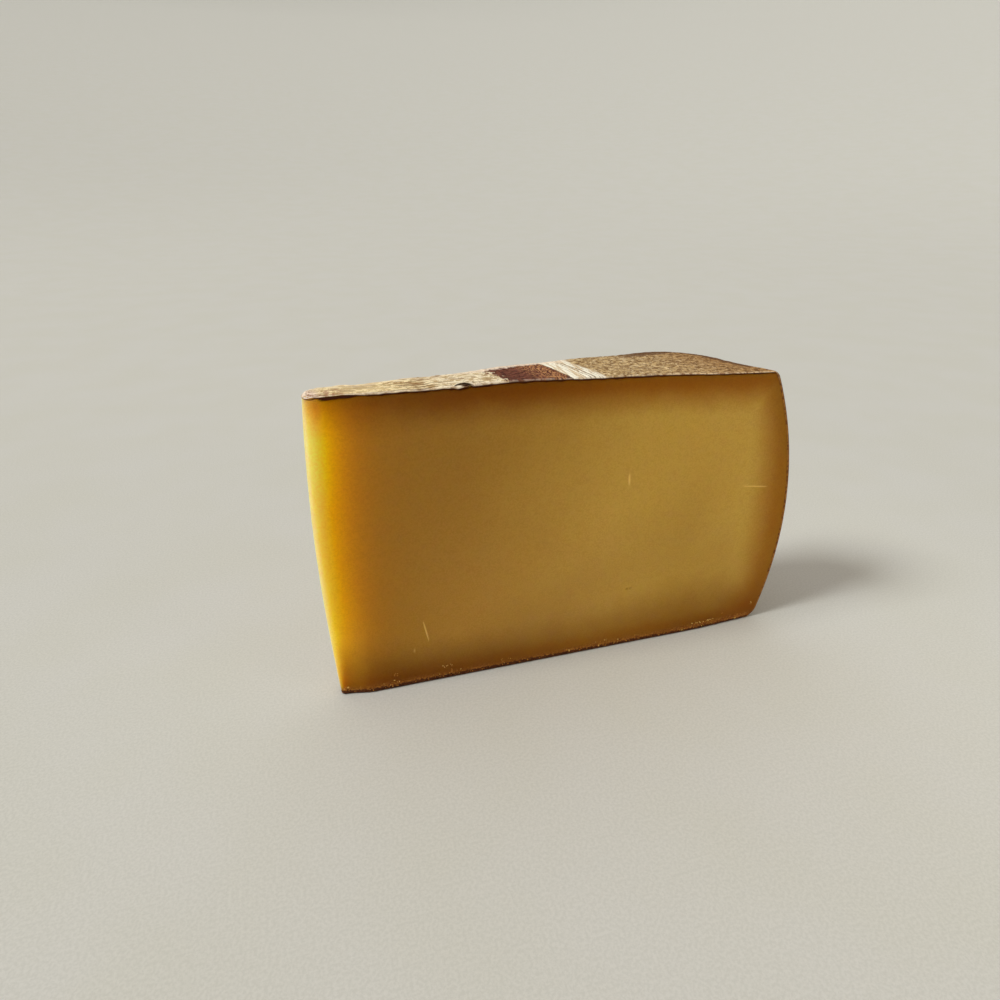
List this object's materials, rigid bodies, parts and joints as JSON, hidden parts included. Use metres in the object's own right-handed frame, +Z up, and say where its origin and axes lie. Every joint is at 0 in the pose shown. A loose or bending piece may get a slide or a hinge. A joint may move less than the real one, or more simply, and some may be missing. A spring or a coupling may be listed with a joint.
{
  "type": "comte cheese",
  "caption": "Slab of comte cheese cut from a wheel: a thick upright piece with flat cut faces, a striped brown top rind and a rounded rind heel.",
  "frame": {"origin": "middle of the bounding box's bottom, on the surface that the slab stands on", "axes": "+X along the front cut towards the rind heel, +Y from the front cut to the back cut, +Z up"},
  "size_m": [0.1618, 0.036, 0.1015],
  "materials": {
    "paste": "dense golden cut paste with a satin sheen, darker towards the rind",
    "rind": "dry, fibrous tan rind with one brown and one cream stripe across its top"
  },
  "bodies": {
    "root": {"cheese": "paste"}
  },
  "joints": []
}
